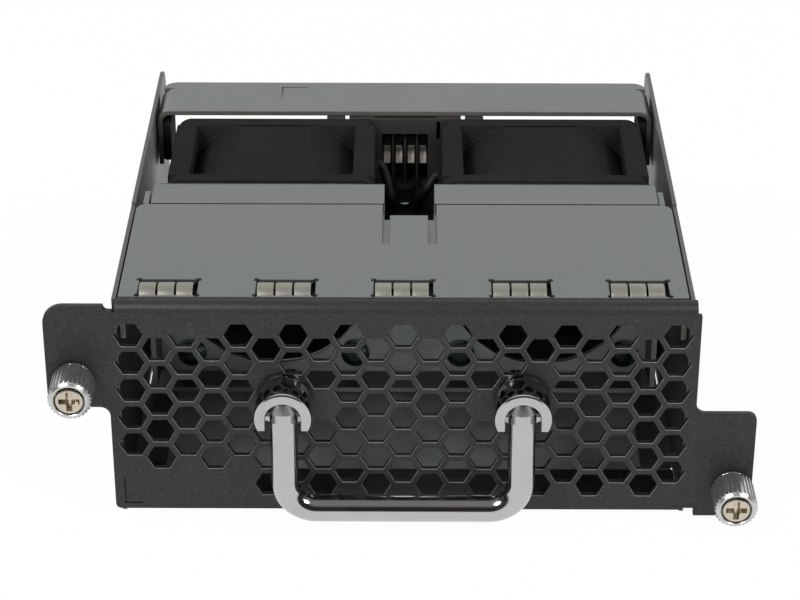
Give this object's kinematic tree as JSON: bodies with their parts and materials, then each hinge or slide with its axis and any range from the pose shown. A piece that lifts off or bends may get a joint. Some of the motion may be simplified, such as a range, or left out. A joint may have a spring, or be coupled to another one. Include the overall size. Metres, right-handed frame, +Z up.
{
  "type": "switch fan tray",
  "caption": "Slide-in cooling tray for a network switch: honeycomb front panel with a swinging pull handle, captive thumbscrews and axial fans in a sheet-metal drawer.",
  "frame": {"origin": "centre of the outer box's footprint, at the height of the surface that the tray stands on", "axes": "+Z up; -Y out of the front panel, towards the user; +X to the right as seen from the front"},
  "size_m": [0.1254, 0.1106, 0.0438],
  "materials": {
    "panel_paint": "fine-textured charcoal paint",
    "zinc_sheet": "dull grey-green zinc coating",
    "spring_steel": "rolled stainless strip",
    "chrome_plate": "bright plating",
    "pin_steel": "ground steel",
    "knob_aluminium": "knurled, satin",
    "screw_steel": "passivated steel",
    "fan_plastic": "moulded black plastic",
    "connector_plastic": "moulded black plastic",
    "foam": "closed-cell foam",
    "copper_winding": "enamelled copper on a steel stack",
    "bearing_bronze": "sintered bronze",
    "lead_sleeve": "matt black sleeve"
  },
  "bodies": {
    "tray": {"front_panel": "panel_paint", "base_pan": "zinc_sheet", "left_side_wall": "zinc_sheet", "right_side_wall": "zinc_sheet", "front_cover": "zinc_sheet", "fan_bracket": "zinc_sheet", "rear_crossbar": "zinc_sheet", "spring_strip_1": "spring_steel", "spring_strip_2": "spring_steel", "spring_strip_3": "spring_steel", "spring_strip_4": "spring_steel", "spring_strip_5": "spring_steel", "connector_housing": "connector_plastic", "connector_bracket": "zinc_sheet", "shelf_screw": "screw_steel", "connector_contact_1": "spring_steel", "connector_contact_2": "spring_steel", "connector_contact_3": "spring_steel", "connector_contact_4": "spring_steel", "left_fan_housing": "fan_plastic", "left_fan_gasket": "foam", "left_fan_stator": "copper_winding", "left_fan_bearing": "bearing_bronze", "left_fan_lead": "lead_sleeve", "left_fan_screw_top_left": "screw_steel", "left_fan_screw_top_right": "screw_steel", "left_fan_screw_bottom_left": "screw_steel", "left_fan_screw_bottom_right": "screw_steel", "left_handle_post": "chrome_plate", "left_pivot_pin": "pin_steel", "left_post_nut": "screw_steel", "left_thumbscrew_ferrule": "knob_aluminium", "right_fan_housing": "fan_plastic", "right_fan_gasket": "foam", "right_fan_stator": "copper_winding", "right_fan_bearing": "bearing_bronze", "right_fan_lead": "lead_sleeve", "right_fan_screw_top_left": "screw_steel", "right_fan_screw_top_right": "screw_steel", "right_fan_screw_bottom_left": "screw_steel", "right_fan_screw_bottom_right": "screw_steel", "right_handle_post": "chrome_plate", "right_pivot_pin": "pin_steel", "right_post_nut": "screw_steel", "right_thumbscrew_ferrule": "knob_aluminium"},
    "handle": {"handle_bail": "chrome_plate"},
    "left_rotor": {"left_fan_rotor": "fan_plastic", "left_fan_shaft": "screw_steel"},
    "right_rotor": {"right_fan_rotor": "fan_plastic", "right_fan_shaft": "screw_steel"},
    "left_bolt_carriage": {"left_thumbscrew_retainer": "screw_steel"},
    "left_thumbscrew": {"left_thumbscrew_knob": "knob_aluminium", "left_thumbscrew_bolt": "screw_steel"},
    "right_bolt_carriage": {"right_thumbscrew_retainer": "screw_steel"},
    "right_thumbscrew": {"right_thumbscrew_knob": "knob_aluminium", "right_thumbscrew_bolt": "screw_steel"}
  },
  "joints": [
    {"name": "handle_swing", "type": "hinge", "parent": "tray", "child": "handle", "pos_m": [-0.0001, -0.0518, 0.0246], "axis": [-1, 0, 0], "range_deg": [-4, 95]},
    {"name": "left_fan_spin", "type": "hinge", "parent": "tray", "child": "left_rotor", "pos_m": [-0.0256, 0.0163, 0.0226], "axis": [0, 1, 0], "continuous": true},
    {"name": "right_fan_spin", "type": "hinge", "parent": "tray", "child": "right_rotor", "pos_m": [0.02695, 0.0163, 0.0226], "axis": [0, 1, 0], "continuous": true},
    {"name": "left_screw_pull", "type": "slide", "parent": "tray", "child": "left_bolt_carriage", "axis": [0, -1, 0], "range_m": [0, 0.004]},
    {"name": "left_screw_turn", "type": "hinge", "parent": "left_bolt_carriage", "child": "left_thumbscrew", "pos_m": [-0.0578, -0.0472, 0.0285], "axis": [0, 1, 0], "continuous": true},
    {"name": "right_screw_pull", "type": "slide", "parent": "tray", "child": "right_bolt_carriage", "axis": [0, -1, 0], "range_m": [0, 0.004]},
    {"name": "right_screw_turn", "type": "hinge", "parent": "right_bolt_carriage", "child": "right_thumbscrew", "pos_m": [0.0589, -0.0472, 0.00647], "axis": [0, 1, 0], "continuous": true}
  ]
}
